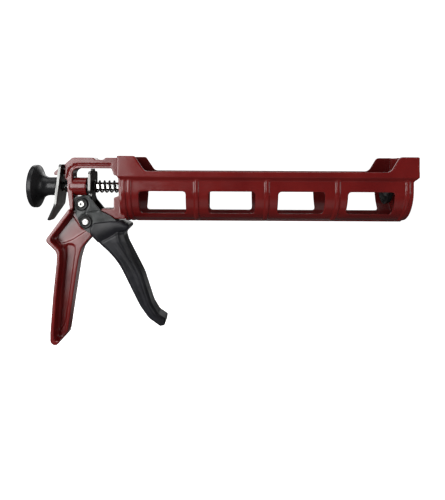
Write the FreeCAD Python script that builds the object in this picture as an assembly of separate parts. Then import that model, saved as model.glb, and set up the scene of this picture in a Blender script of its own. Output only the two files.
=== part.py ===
"""Caulking gun for 310 ml cartridges, with a half-round cradle and a squeeze trigger.

Millimetres. X runs along the push rod towards the nozzle, Z is up and Y = 0 is the middle
plane. The origin is on the rod's axis, where it passes the cradle's rear wall.
"""
import FreeCAD
import Part
import math
import os

# Push rod and what slides on it
ROD_FLATS = 6.0
ROD_REAR_X = -78.0
ROD_SHOULDER_X = 217.0
ROD_FRONT_X = 227.2
ROD_THREAD_R = 3.0
ROD_HOLE_R = 3.8
PISTON_R = 13.5
PISTON_SHEET = 1.6
PISTON_X = 218.5
PISTON_RIM_X = 215.5

# Knob
KNOB_FRONT_X = -58.4
KNOB_REAR_X = -81.2
KNOB_R = 18.0
KNOB_NECK_R = 7.7

# Cradle
CRADLE_R = 27.3
CRADLE_WALL = 2.0
CRADLE_LENGTH = 230.8
CRADLE_END_WALL = 3.2
RAIL_HALF_WIDTH = 30.5
RAIL_OVERHANG = 3.2
RAIL_BOTTOM_Z = 6.0
RAIL_TOP_Z = 13.5
RAIL_WALL = 2.5
EAR_TOP_Z = 25.5
EAR_FOOT_Z = 13.4
NOZZLE_SLOT_R = 11.0
WINDOW_CENTRES_X = [32.0 + 55.2 * i for i in range(4)]
WINDOW_WIDTH = 37.0
WINDOW_TOP_Z = -2.4
WINDOW_BOTTOM_Z = -20.5
HOOP_CENTRES_X = [1.5, 5.9] + [59.1 + 55.8 * i for i in range(3)] + [225.8]
HOOP_WIDTH = 3.0
HOOP_PROUD = 1.0
KEEL_HALF_WIDTH = 9.0
KEEL_FOOT_HALF = 2.0
KEEL_Z = -28.3

# Handle and yoke casting
YOKE_HALF_WIDTH = 7.0
HANDLE_HALF_WIDTH = 16.0
BEAD_HALF_WIDTH = 6.0
WEB_HALF_WIDTH = 5.0
BOSS_R = 7.7
FLANGE_HALF_WIDTH = 15.0
HOOK_HALF_WIDTH = 2.5

# Trigger
PIVOT = (-32.9, -28.8)
ROLLER_AXIS = (-36.3, -14.1)
PIN_R = 2.7
PIN_HALF_LENGTH = 11.4
RUNNING = 0.05
ROLLER_R = 5.4
CHEEK_INNER_Y = 7.4
CHEEK_OUTER_Y = 9.9
BOSS_OUTER_Y = 10.9
GRIP_HALF_WIDTH = 11.2
SLOT_RADIUS = 22.0
BLADE_HALF_WIDTH = 3.0

# Gripping plates
DRIVE_PLATE_X = -30.6
DRIVE_PLATE_THICK = 1.9
PLATE_HALF_WIDTH = 12.0
RELEASE_PIVOT = (-54.3, 11.9)
RELEASE_LEAN_DEG = 7.0
RELEASE_THICK = 2.0
RELEASE_HOLE_R = 4.0

# Screws that hold the cradle to the casting
SCREW_PLACES = [(-10.5, -9.0), (10.5, -9.0), (0.0, -18.0)]
SCREW_R = 1.9
SCREW_HEAD_R = 3.6
SCREW_TIP_X = -4.1


def closed_wire(corners, place):
    """Closed wire through (a, b) or (a, b, radius) corners, rounded where a radius is given."""
    points = [place(corner[0], corner[1]) for corner in corners]
    radii = [corner[2] if len(corner) > 2 else 0.0 for corner in corners]
    count = len(points)
    spans = []
    for i in range(count):
        back = (points[i - 1] - points[i]).normalize()
        ahead = (points[(i + 1) % count] - points[i]).normalize()
        if radii[i] == 0.0:
            spans.append([points[i]])
            continue
        half = back.getAngle(ahead) / 2.0
        reach = radii[i] / math.tan(half)
        middle = (back + ahead).normalize() * (radii[i] / math.sin(half) - radii[i])
        spans.append([points[i] + back * reach, points[i] + middle, points[i] + ahead * reach])
    edges = []
    for i in range(count):
        span = spans[i]
        if len(span) == 3:
            edges.append(Part.Arc(*span).toShape())
        start = span[-1]
        end = spans[(i + 1) % count][0]
        if start.distanceToPoint(end) > 1e-6:
            edges.append(Part.LineSegment(start, end).toShape())
    return Part.Wire(edges)


def side_prism(corners, y_low, y_high):
    """Solid with an outline in the XZ plane, from y_low to y_high."""
    wire = closed_wire(corners, lambda x, z: FreeCAD.Vector(x, y_low, z))
    return Part.Face(wire).extrude(FreeCAD.Vector(0, y_high - y_low, 0))


def even_prism(corners, half_width):
    """Solid with an outline in the XZ plane, centred on the middle plane."""
    return side_prism(corners, -half_width, half_width)


def cross_prism(corners, x_low, x_high):
    """Solid with an outline in the YZ plane, from x_low to x_high."""
    wire = closed_wire(corners, lambda y, z: FreeCAD.Vector(x_low, y, z))
    return Part.Face(wire).extrude(FreeCAD.Vector(x_high - x_low, 0, 0))


def turned(corners):
    """Solid of revolution about the rod's axis, from (x, radius) corners."""
    wire = closed_wire(corners, lambda x, r: FreeCAD.Vector(x, 0, r))
    axis = FreeCAD.Vector(1, 0, 0)
    return Part.Face(wire).revolve(FreeCAD.Vector(0, 0, 0), axis, 360)


def along_x(radius, x_low, x_high, y=0.0, z=0.0):
    """Round bar parallel to the rod."""
    start = FreeCAD.Vector(x_low, y, z)
    return Part.makeCylinder(radius, x_high - x_low, start, FreeCAD.Vector(1, 0, 0))


def across(radius, centre, y_low, y_high):
    """Round bar parallel to Y through a point of the XZ plane."""
    start = FreeCAD.Vector(centre[0], y_low, centre[1])
    return Part.makeCylinder(radius, y_high - y_low, start, FreeCAD.Vector(0, 1, 0))


def block(x_low, x_high, y_low, y_high, z_low, z_high):
    """Rectangular block between two corners."""
    corner = FreeCAD.Vector(x_low, y_low, z_low)
    return Part.makeBox(x_high - x_low, y_high - y_low, z_high - z_low, corner)


def hexagon_bar(flats, x_low, x_high):
    """Hexagonal bar on the rod's axis, with two flats facing +Y and -Y."""
    corner_r = flats / math.sqrt(3.0)
    corners = []
    for i in range(6):
        angle = math.radians(60.0 * i)
        corners.append((corner_r * math.sin(angle), corner_r * math.cos(angle)))
    return cross_prism(corners, x_low, x_high)


def coil(start_x, end_x, mean_r, wire_r, turns):
    """Round-wire compression spring about the rod's axis."""
    length = end_x - start_x
    path = Part.makeHelix(length / turns, length, mean_r)
    slope = math.degrees(math.atan2(length / turns, 2.0 * math.pi * mean_r))
    start = FreeCAD.Vector(mean_r, 0, 0)
    along = FreeCAD.Vector(0, math.cos(math.radians(slope)), math.sin(math.radians(slope)))
    section = Part.Wire([Part.Circle(start, along, wire_r).toShape()])
    spring = Part.Wire(path.Edges).makePipeShell([section], True, True)
    spring.rotate(FreeCAD.Vector(0, 0, 0), FreeCAD.Vector(0, 1, 0), 90)
    spring.translate(FreeCAD.Vector(start_x, 0, 0))
    return spring


def save(shape, node):
    """Write one node's STEP file."""
    shape.exportStep("parts/" + node + ".step")


# ---------------------------------------------------------------- cradle

def trough_section(radius, top_z):
    """Face in the YZ plane at X = 0: half round below the axis, straight walls up to top_z."""
    left = FreeCAD.Vector(0, -radius, 0)
    bottom = FreeCAD.Vector(0, 0, -radius)
    right = FreeCAD.Vector(0, radius, 0)
    top_right = FreeCAD.Vector(0, radius, top_z)
    top_left = FreeCAD.Vector(0, -radius, top_z)
    edges = [Part.Arc(left, bottom, right).toShape()]
    edges.append(Part.LineSegment(right, top_right).toShape())
    edges.append(Part.LineSegment(top_right, top_left).toShape())
    edges.append(Part.LineSegment(top_left, left).toShape())
    return Part.Face(Part.Wire(edges))


def trough(radius, top_z, x_low, x_high):
    """Half-round trough-shaped solid along X."""
    section = trough_section(radius, top_z)
    section.translate(FreeCAD.Vector(x_low, 0, 0))
    return section.extrude(FreeCAD.Vector(x_high - x_low, 0, 0))


def flared_block(x_low, x_high, half_width, z_low, z_high, slant):
    """Block whose four bottom edges are slanted in by a chamfer."""
    solid = block(x_low, x_high, -half_width, half_width, z_low, z_high)
    bottom = [e for e in solid.Edges if e.BoundBox.ZMax < z_low + 1e-3]
    return solid.makeChamfer(slant, bottom)


def cradle_ears():
    """Raised walls at the rear and front of the rail."""
    rear = [(-RAIL_OVERHANG, 9.5), (-RAIL_OVERHANG, EAR_TOP_Z, 0.8), (10.6, EAR_TOP_Z, 2.0),
            (18.8, EAR_FOOT_Z, 5.0), (25.0, EAR_FOOT_Z), (25.0, 9.5)]
    front_x = CRADLE_LENGTH + RAIL_OVERHANG
    front = [(front_x, 9.5), (front_x, EAR_TOP_Z, 0.8), (218.5, EAR_TOP_Z, 4.0),
             (211.3, EAR_FOOT_Z, 7.0), (202.0, EAR_FOOT_Z), (202.0, 9.5)]
    ears = even_prism(rear, RAIL_HALF_WIDTH).fuse(even_prism(front, RAIL_HALF_WIDTH))
    flank = [e for e in ears.Edges if e.BoundBox.YLength < 1e-3 and e.BoundBox.ZMin > EAR_FOOT_Z - 0.1]
    return ears.makeFillet(0.8, flank)


def cradle_windows():
    """Cutters for the four windows through both side walls."""
    cutters = []
    for centre in WINDOW_CENTRES_X:
        low = centre - WINDOW_WIDTH / 2.0
        high = centre + WINDOW_WIDTH / 2.0
        corners = [(low, WINDOW_TOP_Z, 2.5), (high, WINDOW_TOP_Z, 2.5),
                   (high, WINDOW_BOTTOM_Z, 2.5), (low, WINDOW_BOTTOM_Z, 2.5)]
        cutters.append(even_prism(corners, 40.0))
    return cutters


def cradle_hoops():
    """Raised half hoops round the outside of the trough."""
    hoops = []
    for centre in HOOP_CENTRES_X:
        low = centre - HOOP_WIDTH / 2.0
        high = centre + HOOP_WIDTH / 2.0
        hoops.append(trough(CRADLE_R + HOOP_PROUD, RAIL_BOTTOM_Z + 1.0, low, high))
    return hoops


def screw_holes():
    """Cutters for the countersunk screws through the rear wall and into the casting."""
    cutters = []
    for y, z in SCREW_PLACES:
        cutters.append(screw_at(y, z))
    return cutters


def make_cradle():
    """Half-round cartridge cradle, cast in one piece and painted red."""
    front_x = CRADLE_LENGTH + RAIL_OVERHANG
    slant = RAIL_HALF_WIDTH - CRADLE_R
    rail = flared_block(-RAIL_OVERHANG, front_x, RAIL_HALF_WIDTH, RAIL_BOTTOM_Z, RAIL_TOP_Z, slant)
    keel_section = [(-KEEL_HALF_WIDTH, -20.0), (-KEEL_FOOT_HALF, KEEL_Z),
                    (KEEL_FOOT_HALF, KEEL_Z), (KEEL_HALF_WIDTH, -20.0)]
    keel = cross_prism(keel_section, 8.0, 229.6)
    outside = trough(CRADLE_R, RAIL_BOTTOM_Z + 1.0, 0.0, CRADLE_LENGTH)
    outside = outside.fuse(cradle_hoops() + [rail, cradle_ears(), keel])
    inner_r = CRADLE_R - CRADLE_WALL
    inner_end = CRADLE_LENGTH - CRADLE_END_WALL
    lower = trough(inner_r, RAIL_TOP_Z, CRADLE_END_WALL, inner_end)
    rim_half = RAIL_HALF_WIDTH - RAIL_WALL
    upper = flared_block(0.0, CRADLE_LENGTH, rim_half, 6.6, 40.0, rim_half - inner_r)
    slot = along_x(NOZZLE_SLOT_R, 220.0, 240.0)
    slot = slot.fuse(block(220.0, 240.0, -NOZZLE_SLOT_R, NOZZLE_SLOT_R, 0.0, 40.0))
    rod_hole = along_x(ROD_HOLE_R, -10.0, 10.0)
    return outside.cut([lower, upper, slot, rod_hole] + cradle_windows() + screw_holes())


# ---------------------------------------------------------------- handle casting

def make_yoke():
    """Open frame round the drive plate and spring, with the guide boss for the rod."""
    outer = [(-46.6, -21.0), (-49.0, -3.0, 6.0), (-49.0, 5.0), (-51.1, 6.4), (-51.1, 18.7, 1.5),
             (-44.8, 24.2, 3.0), (-27.6, 24.2, 1.5), (-25.8, 22.4, 1.5), (-19.4, 22.4, 1.5),
             (-17.6, 24.2, 1.5), (-RAIL_OVERHANG, 24.2), (-RAIL_OVERHANG, 9.2), (0.0, 6.0),
             (0.0, -26.5, 1.0), (-15.4, -26.5, 4.0), (-22.0, -30.5), (-40.0, -30.5)]
    groove = block(-44.0, -14.0, YOKE_HALF_WIDTH - 0.5, 10.0, 18.0, 18.9)
    other_groove = block(-44.0, -14.0, -10.0, 0.5 - YOKE_HALF_WIDTH, 18.0, 18.9)
    return even_prism(outer, YOKE_HALF_WIDTH).cut([groove, other_groove])


def yoke_opening():
    """Cutter for the space in the yoke where the drive plate and the spring work."""
    opening = [(-45.2, 15.2, 5.0), (-12.5, 15.2, 1.0), (-10.6, 9.7, 1.0), (-8.4, 9.2, 0.8),
               (-7.0, 7.0, 0.8), (-6.4, -7.6, 0.8), (-10.5, -9.0, 0.8), (-10.5, -18.3, 1.0),
               (-20.5, -18.3, 1.5), (-22.5, -20.8, 1.5), (-43.8, -20.8, 1.5), (-44.2, -8.0, 4.0)]
    return even_prism(opening, 30.0)


def make_handle():
    """Fixed handle: a wide back flange, a narrow front bead and a sunken web between them."""
    outline = [(-45.2, -18.0), (-64.2, -43.6, 3.0), (-54.6, -52.9, 6.0), (-54.6, -61.0),
               (-57.4, -89.5, 60.0), (-59.4, -118.0), (-59.4, -128.4, 4.0), (-53.4, -128.4, 3.0),
               (-51.6, -124.6, 2.0), (-48.6, -120.6, 2.5), (-47.4, -112.0, 30.0),
               (-39.8, -60.0, 40.0), (-37.0, -50.5, 8.0), (-28.0, -40.0, 3.0), (-23.0, -28.0),
               (-34.0, -19.0)]
    ahead_of_flange = [(-42.8, -19.8), (-60.4, -43.1, 2.5), (-51.9, -51.4, 6.5),
                       (-51.9, -61.0), (-54.7, -89.5, 60.0), (-56.6, -117.5),
                       (-56.2, -125.0, 2.0), (-47.0, -125.0), (-10.0, -125.0), (-10.0, -10.0),
                       (-40.0, -10.0)]
    upper_recess = [(-42.6, -20.6, 1.0), (-59.2, -42.8, 2.0), (-55.2, -47.4, 2.0),
                    (-49.8, -46.2, 6.0), (-44.4, -44.0, 6.0), (-33.0, -36.6, 2.0),
                    (-28.0, -30.0), (-34.0, -19.0)]
    long_recess = [(-51.0, -52.0), (-50.0, -47.6, 2.5), (-42.6, -47.6, 3.6), (-42.4, -54.0),
                   (-46.4, -86.0, 60.0), (-50.2, -113.0, 2.0), (-55.2, -121.5, 1.0),
                   (-55.6, -117.0), (-54.0, -88.0, 60.0), (-51.2, -62.0)]
    handle = even_prism(outline, HANDLE_HALF_WIDTH)
    for side in (-1.0, 1.0):
        bead = sorted([side * BEAD_HALF_WIDTH, side * 30.0])
        web = sorted([side * WEB_HALF_WIDTH, side * 30.0])
        handle = handle.cut(side_prism(ahead_of_flange, bead[0], bead[1]))
        handle = handle.cut(side_prism(upper_recess, web[0], web[1]))
        handle = handle.cut(side_prism(long_recess, web[0], web[1]))
    return handle


def make_handle_frame():
    """Handle, yoke and release hook: one casting, painted red."""
    pivot_boss = across(7.0, PIVOT, -YOKE_HALF_WIDTH, YOKE_HALF_WIDTH)
    frame = make_handle().fuse([make_yoke(), pivot_boss]).cut(yoke_opening())
    rod_boss = along_x(BOSS_R, -47.0, -33.6)
    flange = trough(FLANGE_HALF_WIDTH, 8.0, -4.3, 0.0)
    flange.translate(FreeCAD.Vector(0, 0, -9.0))
    hook = [(-50.0, 14.3), (-58.8, 14.3), (-61.8, 11.6, 1.0), (-61.8, 9.5, 1.0), (-50.0, 9.5)]
    frame = frame.fuse([rod_boss, flange, even_prism(hook, HOOK_HALF_WIDTH)])
    pin_hole = across(PIN_R, PIVOT, -20.0, 20.0)
    rod_hole = along_x(ROD_HOLE_R, -55.0, 5.0)
    return frame.cut([pin_hole, rod_hole] + screw_holes())


def screw_at(y, z):
    """Countersunk screw along X with its head flush in the cradle's rear wall."""
    head_depth = SCREW_HEAD_R - SCREW_R
    neck = FreeCAD.Vector(CRADLE_END_WALL - head_depth, y, z)
    cone = Part.makeCone(SCREW_R, SCREW_HEAD_R, head_depth, neck, FreeCAD.Vector(1, 0, 0))
    return along_x(SCREW_R, SCREW_TIP_X, neck.x, y, z).fuse(cone)


def make_cradle_screws():
    """Three countersunk screws with cross recesses, one group."""
    screws = []
    for y, z in SCREW_PLACES:
        low_x = CRADLE_END_WALL - 1.0
        slot = block(low_x, CRADLE_END_WALL + 1.0, y - 1.7, y + 1.7, z - 0.4, z + 0.4)
        cross = block(low_x, CRADLE_END_WALL + 1.0, y - 0.4, y + 0.4, z - 1.7, z + 1.7)
        screws.append(screw_at(y, z).cut([slot, cross]))
    return Part.makeCompound(screws)


# ---------------------------------------------------------------- rod group

def make_push_rod():
    """Hexagonal push rod with a turned and threaded front end."""
    rod = hexagon_bar(ROD_FLATS, ROD_REAR_X, ROD_SHOULDER_X)
    return rod.fuse(along_x(ROD_THREAD_R, ROD_SHOULDER_X - 1.0, ROD_FRONT_X))


def make_knob():
    """Pull knob, moulded on the rod's rear end."""
    profile = [(KNOB_FRONT_X, 0.0), (KNOB_FRONT_X, KNOB_NECK_R, 0.8), (-69.8, KNOB_NECK_R, 8.0),
               (-75.4, KNOB_R, 0.6), (-79.0, KNOB_R, 1.4), (KNOB_REAR_X, 11.0, 6.0),
               (KNOB_REAR_X, 0.0)]
    return turned(profile).cut(hexagon_bar(ROD_FLATS, ROD_REAR_X, 0.0))


def make_piston():
    """Pressed steel piston, dished, with its rim towards the handle."""
    front = PISTON_X + PISTON_SHEET
    profile = [(front, ROD_THREAD_R), (front, PISTON_R - 0.6, 2.2), (PISTON_RIM_X, PISTON_R),
               (PISTON_RIM_X, PISTON_R - PISTON_SHEET), (PISTON_X, PISTON_R - 2.1, 0.6),
               (PISTON_X, ROD_THREAD_R)]
    return turned(profile)


def make_washer(x_low, thick, radius):
    """Flat washer on the rod's threaded end."""
    return along_x(radius, x_low, x_low + thick).cut(along_x(ROD_THREAD_R, x_low, x_low + thick))


def make_piston_nut():
    """Hexagonal nut that clamps the piston."""
    x_low = PISTON_X + PISTON_SHEET + 1.5
    nut = hexagon_bar(10.0, x_low, x_low + 5.0)
    dome = turned([(x_low, 0.0), (x_low, 5.9), (x_low + 4.2, 5.9), (x_low + 5.0, 5.0),
                   (x_low + 5.0, 0.0)])
    return nut.common(dome).cut(along_x(ROD_THREAD_R, x_low, x_low + 5.0))


# ---------------------------------------------------------------- plates and springs

def make_drive_plate():
    """Steel plate that jams on the rod and pushes it, with a tongue between the cheeks."""
    half = PLATE_HALF_WIDTH
    outline = [(-half, 12.8, 3.0), (-4.0, 12.8, 1.0), (-3.4, 14.8, 0.6), (3.4, 14.8, 0.6),
               (4.0, 12.8, 1.0), (half, 12.8, 3.0), (half, -5.4, 3.0), (6.6, -5.4, 1.0),
               (6.6, -17.5, 1.5), (-6.6, -17.5, 1.5), (-6.6, -5.4, 1.0), (-half, -5.4, 3.0)]
    plate = cross_prism(outline, DRIVE_PLATE_X, DRIVE_PLATE_X + DRIVE_PLATE_THICK)
    return plate.cut(along_x(ROD_HOLE_R, -40.0, -20.0))


def make_release_plate():
    """Steel thumb plate that stops the rod sliding back, leaning on the casting's hook."""
    pivot_x, pivot_z = RELEASE_PIVOT
    half = RELEASE_THICK / 2.0
    side = [(-half, 6.6), (half, 6.6), (half, -27.2, 6.0), (-4.9, -41.4, 0.6), (-6.9, -41.4, 0.6),
            (-half, -28.0, 6.0)]
    plate = even_prism(side, 20.0)
    front = [(-12.3, 6.6, 2.5), (12.3, 6.6, 2.5), (12.3, -27.5, 10.0), (6.0, -41.4, 4.0),
             (-6.0, -41.4, 4.0), (-12.3, -27.5, 10.0)]
    plate = plate.common(cross_prism(front, -20.0, 20.0))
    play = 0.4
    hook_half = HOOK_HALF_WIDTH + play
    hook_slot = block(-20.0, 20.0, -hook_half, hook_half, -2.4 - play, 2.4 + play)
    rod_drop = pivot_z / math.cos(math.radians(RELEASE_LEAN_DEG))
    plate = plate.cut([hook_slot, along_x(RELEASE_HOLE_R, -20.0, 20.0, 0.0, -rod_drop)])
    plate.rotate(FreeCAD.Vector(0, 0, 0), FreeCAD.Vector(0, 1, 0), RELEASE_LEAN_DEG)
    plate.translate(FreeCAD.Vector(pivot_x, 0, pivot_z))
    return plate


# ---------------------------------------------------------------- trigger group

CHEEK_OUTLINE = [(-42.6, -8.1, 2.5), (-41.6, -22.0, 6.0), (-37.2, -32.9, 3.5), (-30.0, -38.0, 1.0),
                 (-8.0, -38.0, 1.0), (-6.0, -29.2, 1.0), (-12.8, -23.6, 8.0), (-20.8, -19.8, 5.0),
                 (-28.4, -10.8, 3.0), (-29.6, -7.0, 2.0)]
GRIP_OUTLINE = [(-29.4, -34.0, 1.5), (-28.8, -39.4, 2.0), (-23.4, -45.2, 3.0),
                (-14.6, -53.0, 60.0), (-5.6, -62.8, 60.0), (12.0, -98.0, 60.0),
                (19.6, -108.4, 12.0), (28.6, -114.5, 2.5), (32.8, -113.6, 1.4), (33.4, -108.8, 1.5),
                (26.8, -104.4, 4.0), (21.9, -96.5, 20.0), (13.7, -71.5, 60.0), (-0.1, -45.2, 12.0),
                (-2.0, -38.6, 4.0), (3.2, -33.0, 1.2), (2.4, -31.0, 1.0), (-3.6, -28.4, 4.0),
                (-12.0, -28.0, 8.0), (-26.4, -29.8, 2.0)]
BLADE_OUTLINE = [(-19.0, -40.0, 4.0), (-7.0, -55.0, 40.0), (13.0, -94.0, 2.0), (17.0, -93.0, 2.0),
                 (8.0, -70.0, 40.0), (-4.6, -42.0, 4.0), (-8.0, -34.0, 3.0)]


def pivot_clearance():
    """Space round the pivot that stays open between the cheeks for the casting."""
    return across(SLOT_RADIUS, PIVOT, -CHEEK_INNER_Y, CHEEK_INNER_Y)


def arm_clearance():
    """Space that stays open between the cheeks for the yoke's lower arm."""
    return block(-45.0, 12.0, -CHEEK_INNER_Y, CHEEK_INNER_Y, -27.2, 0.0)


def make_trigger_lever():
    """Cast lever: two cheeks beside the casting, a bridge and a core inside the grip."""
    blank = even_prism(CHEEK_OUTLINE, CHEEK_OUTER_Y)
    blank = blank.cut([pivot_clearance(), arm_clearance()])
    lever = blank.fuse(even_prism(BLADE_OUTLINE, BLADE_HALF_WIDTH).cut(pivot_clearance()))
    for centre in (PIVOT, ROLLER_AXIS):
        lever = lever.fuse(across(5.0, centre, CHEEK_INNER_Y, BOSS_OUTER_Y))
        lever = lever.fuse(across(5.0, centre, -BOSS_OUTER_Y, -CHEEK_INNER_Y))
    pivot_hole = across(PIN_R + RUNNING, PIVOT, -20.0, 20.0)
    roller_hole = across(PIN_R, ROLLER_AXIS, -20.0, 20.0)
    return lever.cut([pivot_hole, roller_hole])


def make_trigger_grip():
    """Black plastic grip moulded over the lever."""
    grip = even_prism(GRIP_OUTLINE, GRIP_HALF_WIDTH)
    rims = [e for e in grip.Edges if e.BoundBox.YLength < 1e-3]
    grip = grip.makeFillet(1.1, rims)
    cradle_clearance = along_x(CRADLE_R + HOOP_PROUD + 0.4, -0.4, 12.0)
    grip = grip.cut([pivot_clearance(), arm_clearance(), cradle_clearance])
    boss_relief = across(5.4, PIVOT, -20.0, 20.0)
    return grip.cut([make_trigger_lever(), boss_relief])


def make_pin(centre, hollow):
    """Steel pin across the gun with domed ends; a hollow one is drilled at its ends."""
    pin = across(PIN_R, centre, -PIN_HALF_LENGTH, PIN_HALF_LENGTH)
    pin = pin.makeChamfer(0.4, [e for e in pin.Edges if e.BoundBox.YLength < 1e-3])
    if hollow:
        pin = pin.cut(across(1.1, centre, -20.0, 2.0 - PIN_HALF_LENGTH))
        pin = pin.cut(across(1.1, centre, PIN_HALF_LENGTH - 2.0, 20.0))
    return pin


def make_drive_roller():
    """Steel roller that turns on the upper pin and pushes the drive plate."""
    half = CHEEK_INNER_Y - 0.5
    roller = across(ROLLER_R, ROLLER_AXIS, -half, half)
    roller = roller.makeChamfer(0.4, [e for e in roller.Edges if e.BoundBox.YLength < 1e-3])
    return roller.cut(across(PIN_R + RUNNING, ROLLER_AXIS, -20.0, 20.0))


os.makedirs("parts", exist_ok=True)
save(make_cradle(), "cradle")
save(make_handle_frame(), "handle_frame")
save(make_cradle_screws(), "cradle_screws")
save(make_push_rod(), "push_rod")
save(make_knob(), "knob")
save(make_piston(), "piston")
save(make_washer(ROD_SHOULDER_X, PISTON_X - ROD_SHOULDER_X, 7.0), "piston_rear_washer")
save(make_washer(PISTON_X + PISTON_SHEET, 1.5, 9.0), "piston_front_washer")
save(make_piston_nut(), "piston_nut")
save(make_drive_plate(), "drive_plate")
save(coil(-27.9, -7.2, 4.85, 0.6, 5.0), "main_spring")
save(make_release_plate(), "release_plate")
save(coil(-52.0, -49.7, 4.6, 0.45, 1.75), "release_spring")
save(make_trigger_lever(), "trigger_lever")
save(make_trigger_grip(), "trigger_grip")
save(make_pin(PIVOT, False), "pivot_pin")
save(make_pin(ROLLER_AXIS, True), "roller_pin")
save(make_drive_roller(), "drive_roller")
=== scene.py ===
import bpy
import math
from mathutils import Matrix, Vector


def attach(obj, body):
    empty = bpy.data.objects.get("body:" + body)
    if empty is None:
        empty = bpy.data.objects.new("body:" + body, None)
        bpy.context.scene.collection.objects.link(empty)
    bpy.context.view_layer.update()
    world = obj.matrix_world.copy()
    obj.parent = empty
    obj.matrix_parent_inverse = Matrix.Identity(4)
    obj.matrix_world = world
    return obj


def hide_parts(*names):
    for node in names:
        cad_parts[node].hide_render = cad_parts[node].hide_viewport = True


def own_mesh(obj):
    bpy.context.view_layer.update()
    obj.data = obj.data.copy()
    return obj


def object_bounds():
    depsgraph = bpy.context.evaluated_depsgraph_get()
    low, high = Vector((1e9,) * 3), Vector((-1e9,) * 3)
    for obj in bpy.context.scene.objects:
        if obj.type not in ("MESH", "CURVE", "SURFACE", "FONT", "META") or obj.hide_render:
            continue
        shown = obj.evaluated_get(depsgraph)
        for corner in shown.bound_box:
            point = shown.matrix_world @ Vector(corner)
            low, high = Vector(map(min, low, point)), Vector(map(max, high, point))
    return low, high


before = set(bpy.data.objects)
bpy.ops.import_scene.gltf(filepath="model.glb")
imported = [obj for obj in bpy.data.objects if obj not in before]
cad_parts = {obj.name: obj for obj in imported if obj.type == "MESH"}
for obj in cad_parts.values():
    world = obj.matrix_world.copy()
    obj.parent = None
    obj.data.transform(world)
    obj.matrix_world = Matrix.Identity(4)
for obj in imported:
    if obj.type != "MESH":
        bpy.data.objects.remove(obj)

cad_low, cad_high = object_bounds()
scene = bpy.context.scene
scene.view_settings.view_transform = "Standard"


# ---------------------------------------------------------------- camera
# A level camera in front of the gun, a little above the rod, with its frame
# lowered so that the cradle runs across the upper half of the picture.
CAMERA_DISTANCE = 0.410
CAMERA_HEIGHT = 0.0194
CAMERA_X = 0.0796
bpy.ops.object.camera_add(location=(CAMERA_X, -CAMERA_DISTANCE, CAMERA_HEIGHT))
camera = bpy.context.active_object
camera.rotation_mode = "XYZ"
camera.rotation_euler = (math.radians(90), math.radians(-0.3), 0)
camera.data.lens = 35.0
camera.data.shift_y = -0.172
camera.data.clip_start = 0.01
scene.camera = camera


# ---------------------------------------------------------------- studio
# A round white tent: a pale floor curved up into its wall and closed above. It
# only gives the plain white background; the light comes from the soft boxes.
TENT_RADIUS = 3.0
TENT_HEIGHT = 4.0
FLOOR_GAP = 0.12
bpy.ops.object.select_all(action="DESELECT")
tent_middle_z = cad_low.z - FLOOR_GAP + TENT_HEIGHT / 2
bpy.ops.mesh.primitive_cylinder_add(vertices=96, radius=TENT_RADIUS, depth=TENT_HEIGHT,
                                    location=(0.08, 0, tent_middle_z))
tent = bpy.context.active_object
tent.name = "studio_tent"
bpy.ops.object.mode_set(mode="EDIT")
bpy.ops.mesh.select_all(action="SELECT")
bpy.ops.mesh.flip_normals()
bpy.ops.object.mode_set(mode="OBJECT")
curve = tent.modifiers.new("curved_corners", "BEVEL")
curve.width = 1.0
curve.segments = 12
curve.limit_method = "ANGLE"
bpy.ops.object.modifier_apply(modifier=curve.name)
bpy.ops.object.shade_smooth()

tent_cloth = bpy.data.materials.new("white_tent_cloth")
tent_cloth.use_nodes = True
tent_shader = tent_cloth.node_tree.nodes["Principled BSDF"]
tent_shader.inputs["Base Color"].default_value = (0.9, 0.9, 0.9, 1)
tent_shader.inputs["Emission Color"].default_value = (1, 1, 1, 1)
tent_shader.inputs["Emission Strength"].default_value = 1.0
tent.data.materials.append(tent_cloth)
tent.visible_diffuse = False
tent.visible_glossy = False
tent.visible_shadow = False

world = bpy.data.worlds.new("studio")
world.use_nodes = True
world.node_tree.nodes["Background"].inputs["Color"].default_value = (1, 1, 1, 1)
world.node_tree.nodes["Background"].inputs["Strength"].default_value = 0.05
scene.world = world


def soft_box(name, place, aim, size, power):
    """A rectangular soft box at a place, turned towards a point."""
    bpy.ops.object.light_add(type="AREA", location=place)
    lamp = bpy.context.active_object
    lamp.name = name
    lamp.data.shape = "RECTANGLE"
    lamp.data.size = size[0]
    lamp.data.size_y = size[1]
    lamp.data.energy = power
    lamp.rotation_euler = (Vector(aim) - lamp.location).to_track_quat("-Z", "Y").to_euler()


soft_box("left_soft_box", (-0.65, -1.0, 0.14), aim=(-0.47, 0, 0.06), size=(0.76, 0.84), power=16.0)
soft_box("top_soft_box", (0.10, -0.15, 1.1), aim=(0.08, 0, 0), size=(1.2, 0.7), power=6.0)
soft_box("right_soft_box", (1.1, -0.45, 0.15), aim=(0.1, 0, 0), size=(0.5, 0.8), power=4.0)
soft_box("low_fill", (0.05, -0.5, -0.75), aim=(0.05, 0, -0.03), size=(1.0, 0.5), power=0.5)
soft_box("rear_fill", (-0.10, 1.40, 0.80), aim=(0.06, 0, 0), size=(1.4, 1.0), power=9.0)
soft_box("back_strip", (0.25, 1.0, -0.31), aim=(0, 0, -0.07), size=(0.34, 0.32), power=0.12)
bpy.context.active_object.visible_camera = False


# ---------------------------------------------------------------- handle casting
# The fixed handle, the yoke and the release hook are one aluminium casting,
# fettled and sprayed with gloss red enamel. Every edge is rounded by the mould.
def new_finish(name, metallic):
    """A Principled material with its share of metal set; returns its parts for node work."""
    material = bpy.data.materials.new(name)
    material.use_nodes = True
    tree = material.node_tree
    shader = tree.nodes["Principled BSDF"]
    shader.inputs["Metallic"].default_value = metallic
    return material, tree, shader


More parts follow.
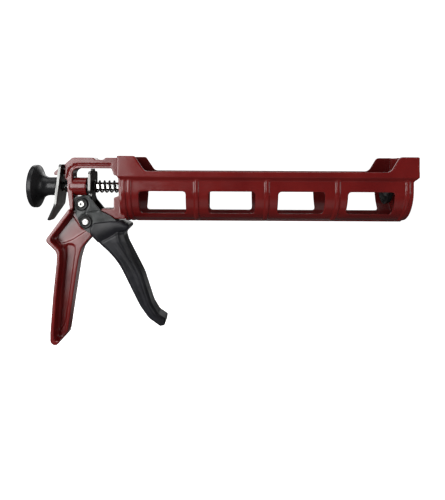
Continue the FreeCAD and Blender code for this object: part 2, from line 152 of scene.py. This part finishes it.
def grain(tree, scale, detail=3.0, stretch=(1, 1, 1)):
    """A noise pattern fixed to the piece; returns its value output."""
    place = tree.nodes.new("ShaderNodeTexCoord")
    mapping = tree.nodes.new("ShaderNodeMapping")
    mapping.inputs["Scale"].default_value = stretch
    noise = tree.nodes.new("ShaderNodeTexNoise")
    noise.inputs["Scale"].default_value = scale
    noise.inputs["Detail"].default_value = detail
    tree.links.new(place.outputs["Object"], mapping.inputs["Vector"])
    tree.links.new(mapping.outputs["Vector"], noise.inputs["Vector"])
    return noise.outputs["Fac"]


def vary_colour(tree, shader, pattern, dark, light):
    """Drives the base colour between two shades."""
    ramp = tree.nodes.new("ShaderNodeValToRGB")
    ramp.color_ramp.elements[0].position = 0.35
    ramp.color_ramp.elements[0].color = (*dark, 1)
    ramp.color_ramp.elements[1].position = 0.65
    ramp.color_ramp.elements[1].color = (*light, 1)
    tree.links.new(pattern, ramp.inputs["Fac"])
    tree.links.new(ramp.outputs["Color"], shader.inputs["Base Color"])


def vary_roughness(tree, shader, pattern, low, high):
    """Drives the roughness between two values."""
    spread = tree.nodes.new("ShaderNodeMapRange")
    spread.inputs["From Min"].default_value = 0.3
    spread.inputs["From Max"].default_value = 0.7
    spread.inputs["To Min"].default_value = low
    spread.inputs["To Max"].default_value = high
    tree.links.new(pattern, spread.inputs["Value"])
    tree.links.new(spread.outputs["Result"], shader.inputs["Roughness"])


def add_bumps(tree, shader, layers):
    """Stacks bump layers of (pattern, height in metres) on the shader's normal."""
    before = None
    for pattern, height in layers:
        bump = tree.nodes.new("ShaderNodeBump")
        bump.inputs["Distance"].default_value = height
        bump.inputs["Strength"].default_value = 1.0
        tree.links.new(pattern, bump.inputs["Height"])
        if before is not None:
            tree.links.new(before, bump.inputs["Normal"])
        before = bump.outputs["Normal"]
    tree.links.new(before, shader.inputs["Normal"])


def make_red_enamel():
    """Gloss dark red enamel with a faint orange peel over the cast skin."""
    material, tree, shader = new_finish("red_enamel", 0.0)
    vary_colour(tree, shader, grain(tree, 38.0), (0.138, 0.007, 0.007), (0.170, 0.010, 0.009))
    vary_roughness(tree, shader, grain(tree, 110.0), 0.18, 0.27)
    add_bumps(tree, shader, [(grain(tree, 420.0, 2.0), 0.000018), (grain(tree, 75.0, 1.0), 0.00011)])
    return material


def copy_node(node, name):
    """A merged copy of a CAD node's mesh, as a new piece in the same place."""
    bpy.ops.object.select_all(action="DESELECT")
    piece = bpy.data.objects.new(name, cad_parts[node].data.copy())
    scene.collection.objects.link(piece)
    piece.data.name = name
    piece.data.materials.clear()
    piece.select_set(True)
    bpy.context.view_layer.objects.active = piece
    bpy.ops.mesh.customdata_custom_splitnormals_clear()
    bpy.ops.object.mode_set(mode="EDIT")
    bpy.ops.mesh.select_all(action="SELECT")
    bpy.ops.mesh.remove_doubles(threshold=0.00001)
    bpy.ops.object.mode_set(mode="OBJECT")
    return piece


def skin_over(piece, voxel):
    """Replaces a piece's mesh by an even skin of small faces."""
    piece.data.remesh_voxel_size = voxel
    bpy.ops.object.voxel_remesh()


def relax_skin(piece, factor, passes):
    """Rounds every edge a little, as a mould does."""
    relax = piece.modifiers.new("relax", "SMOOTH")
    relax.factor = factor
    relax.iterations = passes
    bpy.ops.object.modifier_apply(modifier=relax.name)


def thin_out(piece, share):
    """Keeps this share of a piece's faces."""
    thin = piece.modifiers.new("thin", "DECIMATE")
    thin.ratio = share
    bpy.ops.object.modifier_apply(modifier=thin.name)


def round_casting(piece, voxel, passes, share):
    """Gives a casting its rounded edges and soft shading."""
    skin_over(piece, voxel)
    relax_skin(piece, 0.5, passes)
    thin_out(piece, share)
    relax_skin(piece, 0.4, 2)
    bpy.ops.object.shade_smooth()


def clamp(value):
    """The value, held between 0 and 1."""
    return max(0.0, min(1.0, value))


def distance_to_run(x, z, start, end):
    """Distance in the side view from a point to a straight run between two points."""
    run = Vector(end) - Vector(start)
    share = clamp((Vector((x, z)) - Vector(start)).dot(run) / run.length_squared)
    return (Vector((x, z)) - Vector(start) - share * run).length


def hollow(distance, half_width):
    """1 on a line and falling smoothly to 0 at half_width from it."""
    return max(0.0, 1.0 - (distance / half_width) ** 2) ** 2


red_enamel = make_red_enamel()
YOKE_INSIDE_Y, YOKE_OUTSIDE_Y = 0.0045, 0.0073
YOKE_FOOT_Z = 0.0040
YOKE_FRONT_X = -0.0100
GROOVE_LINE = [(-0.0135, 0.0184), (-0.0415, 0.0184), (-0.0468, 0.0145), (-0.0487, 0.0080)]
GROOVE_HALF_WIDTH = 0.0013
GROOVE_DEPTH = 0.0008
handle = copy_node("handle_frame", "handle_casting")
round_casting(handle, 0.0005, 6, 0.5)
for vertex in handle.data.vertices:
    x, y, z = vertex.co
    if z > YOKE_FOOT_Z and YOKE_INSIDE_Y < abs(y) < YOKE_OUTSIDE_Y and x < YOKE_FRONT_X:
        runs = zip(GROOVE_LINE, GROOVE_LINE[1:])
        nearest = min(distance_to_run(x, z, start, end) for start, end in runs)
        depth = GROOVE_DEPTH * hollow(nearest, GROOVE_HALF_WIDTH)
        vertex.co.y = math.copysign(abs(y) - depth, y)
handle.data.materials.append(red_enamel)
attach(handle, "frame")
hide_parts("handle_frame")


# ---------------------------------------------------------------- cradle
# The half-round cartridge cradle is a thin aluminium casting with four windows
# a side and raised hoops, screwed to the yoke and sprayed with the same enamel.
# Its inner faces are painted darker and duller: painted shade for the shadowed inside.
def make_cradle_enamel():
    """The red enamel, painted darker and duller on the cradle's inner faces: painted shade for the
    shadowed inside.
    """
    material = make_red_enamel()
    material.name = "cradle_enamel"
    tree = material.node_tree
    shader = tree.nodes["Principled BSDF"]
    # painted shade mask: the vertex attribute set below on the cradle's inner faces
    thin = tree.nodes.new("ShaderNodeAttribute")
    thin.attribute_name = "painted_inner_shade"
    shade = tree.nodes.new("ShaderNodeMix")
    shade.data_type = "RGBA"
    # painted shade colour: a darker red standing for the shadow inside the cradle
    shade.inputs["B"].default_value = (0.070, 0.005, 0.005, 1)
    unshaded_enamel = shader.inputs["Base Color"].links[0].from_socket
    tree.links.new(thin.outputs["Fac"], shade.inputs["Factor"])
    tree.links.new(unshaded_enamel, shade.inputs["A"])
    tree.links.new(shade.outputs["Result"], shader.inputs["Base Color"])
    # the painted shade also turns down the reflections on the inner faces
    gloss = tree.nodes.new("ShaderNodeMapRange")
    gloss.inputs["To Min"].default_value = 0.5
    gloss.inputs["To Max"].default_value = 0.08
    tree.links.new(thin.outputs["Fac"], gloss.inputs["Value"])
    tree.links.new(gloss.outputs["Result"], shader.inputs["Specular IOR Level"])
    return material


cradle = copy_node("cradle", "cradle_casting")
round_casting(cradle, 0.0006, 5, 0.45)
painted_inner_shade = cradle.data.attributes.new("painted_inner_shade", "FLOAT", "POINT")
# painted shade: faces turned towards the rod's axis, the cradle's shaded inside, get the mask
for vertex in cradle.data.vertices:
    outwards = Vector((0, vertex.co.y, vertex.co.z)).normalized().dot(vertex.normal)
    painted_inner_shade.data[vertex.index].value = clamp(-2.0 * outwards)
cradle.data.materials.append(make_cradle_enamel())
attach(cradle, "frame")
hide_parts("cradle")


# ---------------------------------------------------------------- cradle screws, washers and nut
# Zinc plated steel fasteners, straight from the box: a faint blue-yellow haze
# over bright metal with turning marks.
def make_zinc():
    """Bright zinc plate with a slight cloudy tint."""
    material, tree, shader = new_finish("zinc_plate", 1.0)
    vary_colour(tree, shader, grain(tree, 320.0), (0.40, 0.41, 0.40), (0.55, 0.54, 0.50))
    vary_roughness(tree, shader, grain(tree, 900.0), 0.24, 0.40)
    add_bumps(tree, shader, [(grain(tree, 1600.0, 2.0), 0.00002)])
    return material


def finish_node(node, material):
    """Gives a CAD node that keeps its own mesh its finish."""
    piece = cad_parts[node]
    piece.data.materials.clear()
    piece.data.materials.append(material)


zinc = make_zinc()
for node in ("cradle_screws", "piston_rear_washer", "piston_front_washer", "piston_nut"):
    finish_node(node, zinc)


# ---------------------------------------------------------------- push rod
# Cold drawn hexagonal bar, bright plated, with long draw lines and a turned
# and threaded front end.
def make_rod_steel():
    """Bright plate over fine lengthwise draw lines."""
    material, tree, shader = new_finish("rod_steel", 1.0)
    lines = grain(tree, 900.0, 2.0, (0.02, 1, 1))
    vary_colour(tree, shader, lines, (0.42, 0.42, 0.42), (0.60, 0.60, 0.59))
    vary_roughness(tree, shader, lines, 0.10, 0.22)
    add_bumps(tree, shader, [(lines, 0.00001)])
    return material


finish_node("push_rod", make_rod_steel())


# ---------------------------------------------------------------- pull knob
# A black nylon mushroom moulded on the rod's end, satin, with a soft rim and
# the faint flow marks of the moulding.
def make_moulded_black(name, dark, light, low, high):
    """Satin black moulding with a fine spark-eroded grain."""
    material, tree, shader = new_finish(name, 0.0)
    vary_colour(tree, shader, grain(tree, 60.0), dark, light)
    vary_roughness(tree, shader, grain(tree, 240.0), low, high)
    shader.inputs["Specular IOR Level"].default_value = 0.27
    add_bumps(tree, shader, [(grain(tree, 1400.0, 3.0), 0.00003)])
    return material


finish_node("knob", make_moulded_black("knob_nylon", (0.010, 0.010, 0.011), (0.017, 0.017, 0.018),
                                       0.26, 0.38))


# ---------------------------------------------------------------- piston
# A small dished disc, pressed from sheet and coated black. Its washers and nut
# clamp it on the rod's threaded end.
def make_black_coat():
    """Thin black coat on pressed sheet, a little worn."""
    material, tree, shader = new_finish("black_coat", 0.1)
    vary_colour(tree, shader, grain(tree, 160.0), (0.004, 0.004, 0.004), (0.009, 0.0085, 0.008))
    vary_roughness(tree, shader, grain(tree, 420.0), 0.50, 0.68)
    add_bumps(tree, shader, [(grain(tree, 900.0), 0.00003)])
    return material


finish_node("piston", make_black_coat())


# ---------------------------------------------------------------- plates
# The release plate and the drive plate are blanked from thick steel sheet and
# plated; rolling marks run up the faces, which carry a painted dark reflection, and the cut edges
# are bright.
def make_plate_steel():
    """Rolled sheet: a painted dark reflection on both faces and bright sheared edges."""
    material, tree, shader = new_finish("plate_steel", 1.0)
    marks = grain(tree, 700.0, 3.0, (1, 1, 0.06))
    # painted reflection: the faces are coloured dark to stand for the dark reflection the steel
    # shows there
    skin = tree.nodes.new("ShaderNodeValToRGB")
    skin.color_ramp.elements[0].position = 0.35
    skin.color_ramp.elements[0].color = (0.075, 0.070, 0.062, 1)
    skin.color_ramp.elements[1].position = 0.68
    skin.color_ramp.elements[1].color = (0.135, 0.125, 0.112, 1)
    tree.links.new(grain(tree, 130.0, 4.0), skin.inputs["Fac"])
    facing = tree.nodes.new("ShaderNodeTexCoord")
    parts = tree.nodes.new("ShaderNodeSeparateXYZ")
    tree.links.new(facing.outputs["Normal"], parts.inputs["Vector"])
    size = tree.nodes.new("ShaderNodeMath")
    size.operation = "ABSOLUTE"
    tree.links.new(parts.outputs["X"], size.inputs[0])
    on_face = tree.nodes.new("ShaderNodeMapRange")
    on_face.inputs["From Min"].default_value = 0.35
    on_face.inputs["From Max"].default_value = 0.65
    tree.links.new(size.outputs["Value"], on_face.inputs["Value"])
    # faces facing along X take the painted dark reflection; the cut edges keep a lighter steel grey
    blend = tree.nodes.new("ShaderNodeMix")
    blend.data_type = "RGBA"
    blend.inputs["A"].default_value = (0.17, 0.17, 0.165, 1)
    tree.links.new(on_face.outputs["Result"], blend.inputs["Factor"])
    tree.links.new(skin.outputs["Color"], blend.inputs["B"])
    tree.links.new(blend.outputs["Result"], shader.inputs["Base Color"])
    vary_roughness(tree, shader, marks, 0.28, 0.46)
    add_bumps(tree, shader, [(marks, 0.00002)])
    return material


plate_steel = make_plate_steel()
finish_node("release_plate", plate_steel)
finish_node("drive_plate", plate_steel)


# ---------------------------------------------------------------- springs
# Both springs are wound from round wire and blackened in oil. The main one
# returns the drive plate; the light one holds the release plate back.
def make_spring_wire():
    """Oil-blackened spring wire."""
    material, tree, shader = new_finish("spring_wire", 0.85)
    vary_colour(tree, shader, grain(tree, 500.0), (0.03, 0.03, 0.03), (0.09, 0.088, 0.085))
    vary_roughness(tree, shader, grain(tree, 900.0), 0.24, 0.40)
    add_bumps(tree, shader, [(grain(tree, 1500.0), 0.00002)])
    return material


spring_wire = make_spring_wire()


def wind_spring(name, start_x, end_x, mean_r, wire_r, turns, quarter_turns):
    """A coil of round wire about the rod: a small circle screwed along X, its ends capped."""
    bpy.ops.object.select_all(action="DESELECT")
    bpy.ops.mesh.primitive_circle_add(vertices=14, radius=wire_r, location=(start_x, 0, mean_r),
                                      rotation=(math.radians(90), 0, 0))
    spring = bpy.context.active_object
    spring.name = name
    bpy.ops.object.transform_apply(location=True, rotation=True, scale=True)
    coil = spring.modifiers.new("wound", "SCREW")
    coil.axis = "X"
    coil.angle = math.radians(90)
    coil.iterations = 4 * turns + quarter_turns
    coil.screw_offset = (end_x - start_x) / coil.iterations
    coil.steps = 12
    coil.render_steps = 12
    coil.use_merge_vertices = True
    coil.merge_threshold = 0.00001
    bpy.ops.object.modifier_apply(modifier=coil.name)
    bpy.ops.object.mode_set(mode="EDIT")
    bpy.ops.mesh.select_all(action="DESELECT")
    bpy.ops.mesh.select_mode(type="EDGE")
    bpy.ops.mesh.select_non_manifold()
    bpy.ops.mesh.edge_face_add()
    bpy.ops.mesh.select_all(action="SELECT")
    bpy.ops.mesh.normals_make_consistent(inside=False)
    bpy.ops.object.mode_set(mode="OBJECT")
    bpy.ops.object.shade_smooth_by_angle(angle=math.radians(50))
    spring.data.materials.append(spring_wire)
    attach(spring, "frame")
    return spring


main_coil = wind_spring("main_return_spring", start_x=-0.0279, end_x=-0.0074, mean_r=0.00465,
                        wire_r=0.00078, turns=5, quarter_turns=0)
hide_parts("main_spring")
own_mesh(main_coil)
release_coil = wind_spring("release_plate_spring", start_x=-0.0520, end_x=-0.0497, mean_r=0.0046,
                           wire_r=0.00045, turns=1, quarter_turns=3)
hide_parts("release_spring")
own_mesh(release_coil)


# ---------------------------------------------------------------- pins and roller
# Ground steel pins, peened at their ends, and the roller that the upper one
# carries between the cheeks.
def make_pin_steel():
    """Ground steel with fine random scratches."""
    material, tree, shader = new_finish("pin_steel", 1.0)
    vary_colour(tree, shader, grain(tree, 900.0), (0.20, 0.20, 0.195), (0.42, 0.42, 0.41))
    vary_roughness(tree, shader, grain(tree, 1200.0), 0.22, 0.40)
    add_bumps(tree, shader, [(grain(tree, 2200.0), 0.00002)])
    return material


pin_steel = make_pin_steel()
for node in ("pivot_pin", "roller_pin", "drive_roller"):
    finish_node(node, pin_steel)


# ---------------------------------------------------------------- trigger lever
# A black coated casting, its cheeks painted with a grey sheen between the pins:
# two cheeks beside the yoke with a boss at each pin, and a core that runs down inside the grip.
PIVOT_X, PIVOT_Z = -0.0329, -0.0288
ROLLER_X, ROLLER_Z = -0.0363, -0.0141
CHEEK_INSIDE_Y = 0.0086
BOSS_R = 0.0050
BOSS_FOOT_R = 0.0054
BOSS_FOOT_WIDTH = 0.0012
RING_R = 0.0037
RING_HALF_WIDTH = 0.0008
RING_DEPTH = 0.0004
SEAM = [(-0.0331, -0.0217), (-0.0229, -0.0201)]
SEAM_HALF_WIDTH = 0.0007
RIB = [(-0.0327, -0.0183), (-0.0330, -0.0232)]
RIB_HALF_WIDTH = 0.0006
LINE_DEPTH = 0.0005
FRONT_FACET_X, FRONT_FACET_Z = -0.0310, -0.0220
FRONT_FACET_SLANT = 0.30
FRONT_FACET_RUN = 0.012
FRONT_FACET_DEPTH = 0.0008
REAR_FACET_X = -0.0365
REAR_FACET_RUN = 0.005
REAR_FACET_DEPTH = 0.0007


def distance_to_pin(tree, pin_x, pin_z):
    """Node output: distance from a cross pin's axis."""
    place = tree.nodes.new("ShaderNodeTexCoord")
    flat = tree.nodes.new("ShaderNodeVectorMath")
    flat.operation = "MULTIPLY"
    flat.inputs[1].default_value = (1, 0, 1)
    tree.links.new(place.outputs["Object"], flat.inputs[0])
    reach = tree.nodes.new("ShaderNodeVectorMath")
    reach.operation = "DISTANCE"
    reach.inputs[1].default_value = (pin_x, 0, pin_z)
    tree.links.new(flat.outputs["Vector"], reach.inputs[0])
    return reach.outputs["Value"]


def make_dark_coat():
    """Semi-gloss black coat on a cast skin, with a painted grey sheen on the faces away from the
    pins.
    """
    material, tree, shader = new_finish("dark_coat", 0.2)
    nearest = tree.nodes.new("ShaderNodeMath")
    nearest.operation = "MINIMUM"
    tree.links.new(distance_to_pin(tree, PIVOT_X, PIVOT_Z), nearest.inputs[0])
    tree.links.new(distance_to_pin(tree, ROLLER_X, ROLLER_Z), nearest.inputs[1])
    # painted sheen: away from the pins the faces are painted grey for the sheen the cheek facets
    # catch; near the pins they stay black
    painted_sheen_mask = tree.nodes.new("ShaderNodeMapRange")
    painted_sheen_mask.inputs["From Min"].default_value = 0.0050
    painted_sheen_mask.inputs["From Max"].default_value = 0.0080
    tree.links.new(nearest.outputs["Value"], painted_sheen_mask.inputs["Value"])
    # the painted sheen's grey, varying at random across the faces
    cloud = tree.nodes.new("ShaderNodeValToRGB")
    cloud.color_ramp.elements[0].position = 0.35
    cloud.color_ramp.elements[0].color = (0.024, 0.026, 0.026, 1)
    cloud.color_ramp.elements[1].position = 0.65
    cloud.color_ramp.elements[1].color = (0.062, 0.067, 0.066, 1)
    tree.links.new(grain(tree, 150.0, 4.0), cloud.inputs["Fac"])
    coat = tree.nodes.new("ShaderNodeMix")
    coat.data_type = "RGBA"
    coat.inputs["A"].default_value = (0.006, 0.006, 0.006, 1)
    tree.links.new(painted_sheen_mask.outputs["Result"], coat.inputs["Factor"])
    tree.links.new(cloud.outputs["Color"], coat.inputs["B"])
    tree.links.new(coat.outputs["Result"], shader.inputs["Base Color"])
    vary_roughness(tree, shader, grain(tree, 380.0), 0.30, 0.44)
    shader.inputs["Specular IOR Level"].default_value = 0.35
    add_bumps(tree, shader, [(grain(tree, 800.0), 0.00005)])
    return material


lever = copy_node("trigger_lever", "lever_casting")
skin_over(lever, 0.00040)
for vertex in lever.data.vertices:
    x, y, z = vertex.co
    if abs(y) < CHEEK_INSIDE_Y:
        continue
    from_pivot = math.hypot(x - PIVOT_X, z - PIVOT_Z)
    from_roller = math.hypot(x - ROLLER_X, z - ROLLER_Z)
    near_boss = min(from_pivot, from_roller)
    sink = 0.0
    if near_boss < BOSS_R:
        sink = RING_DEPTH * hollow(near_boss - RING_R, RING_HALF_WIDTH)
    elif near_boss > BOSS_FOOT_R:
        in_seam = hollow(distance_to_run(x, z, *SEAM), SEAM_HALF_WIDTH)
        in_rib = hollow(distance_to_run(x, z, *RIB), RIB_HALF_WIDTH)
        sink = LINE_DEPTH * max(in_seam, in_rib)
        sink += LINE_DEPTH * hollow(near_boss - BOSS_FOOT_R, BOSS_FOOT_WIDTH)
        past_front = x - FRONT_FACET_X + FRONT_FACET_SLANT * (z - FRONT_FACET_Z)
        sink += FRONT_FACET_DEPTH * clamp(past_front / FRONT_FACET_RUN)
        sink += REAR_FACET_DEPTH * clamp((REAR_FACET_X - x) / REAR_FACET_RUN)
    vertex.co.y = math.copysign(abs(y) - sink, y)
relax_skin(lever, 0.5, 3)
thin_out(lever, 0.5)
bpy.ops.object.shade_smooth()
lever.data.materials.append(make_dark_coat())
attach(lever, "trigger")
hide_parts("trigger_lever")


# ---------------------------------------------------------------- trigger grip
# Black nylon moulded over the lever: a rolled collar under the cheeks, then a
# blade with a long ridge near its front edge, a chamfer beyond it and a toe.
GRIP_HALF = 0.0112
SLOT_HALF = 0.0074
SLOT_SKIN = 0.0002
BLADE_FRONT = [(-0.0386, -0.0020), (-0.0452, -0.0001), (-0.0715, 0.0137), (-0.0965, 0.0219),
               (-0.1044, 0.0268), (-0.1088, 0.0334)]
BLADE_REAR = [(-0.0452, -0.0234), (-0.0530, -0.0146), (-0.0628, -0.0056), (-0.0980, 0.0120),
              (-0.1084, 0.0196), (-0.1145, 0.0286)]
COLLAR_TOP = [(-0.0294, -0.0336), (-0.0264, -0.0298), (-0.0120, -0.0280), (-0.0036, -0.0284),
              (0.0032, -0.0320)]
COLLAR_FOOT = [(-0.0294, -0.0410), (-0.0234, -0.0465), (-0.0169, -0.0427), (-0.0070, -0.0372),
               (0.0034, -0.0356)]
COLLAR_EDGE_WIDTH = 0.86
COLLAR_ROLL = 0.14
ROLL_START, ROLL_REST = 0.12, 0.88
ROLL_FULLNESS = 0.6
HORN_TAPER = 0.03
HORN_RUN = 0.003
NECK_DEPTH = 0.09
NECK_HEIGHT = 0.0030
SIDE_PROFILE = [(0.0, 0.78), (0.10, 0.90), (0.22, 0.93), (0.50, 0.90), (0.70, 0.935),
                (0.79, 1.0), (0.86, 0.92), (1.0, 0.70)]


def along(points, place):
    """Value read off a run of (place, value) points by straight lines, held at its ends."""
    ordered = sorted(points)
    if place <= ordered[0][0]:
        return ordered[0][1]
    for low, high in zip(ordered, ordered[1:]):
        if place <= high[0]:
            return low[1] + (high[1] - low[1]) * (place - low[0]) / (high[0] - low[0])
    return ordered[-1][1]


grip = copy_node("trigger_grip", "grip_moulding")
skin_over(grip, 0.00045)
for vertex in grip.data.vertices:
    x, y, z = vertex.co
    if abs(y) < SLOT_HALF + SLOT_SKIN:
        continue
    top = along(COLLAR_TOP, x)
    foot = along(COLLAR_FOOT, x)
    if z > foot:
        down = clamp((top - z) / (top - foot))
        roll = math.sin(math.pi * (ROLL_START + ROLL_REST * down)) ** ROLL_FULLNESS
        width = COLLAR_EDGE_WIDTH + COLLAR_ROLL * roll - HORN_TAPER * clamp(x / HORN_RUN)
    else:
        rear = along(BLADE_REAR, z)
        front = along(BLADE_FRONT, z)
        width = along(SIDE_PROFILE, (x - rear) / (front - rear))
        width -= NECK_DEPTH * hollow(foot - z, NECK_HEIGHT)
    flank = (abs(y) - SLOT_HALF) / (GRIP_HALF - SLOT_HALF)
    vertex.co.y = math.copysign(SLOT_HALF + flank * (GRIP_HALF * width - SLOT_HALF), y)
relax_skin(grip, 0.5, 3)
thin_out(grip, 0.5)
bpy.ops.object.shade_smooth()
grip.data.materials.append(make_moulded_black("grip_nylon", (0.007, 0.007, 0.009),
                                              (0.013, 0.013, 0.017), 0.30, 0.42))
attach(grip, "trigger")
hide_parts("trigger_grip")
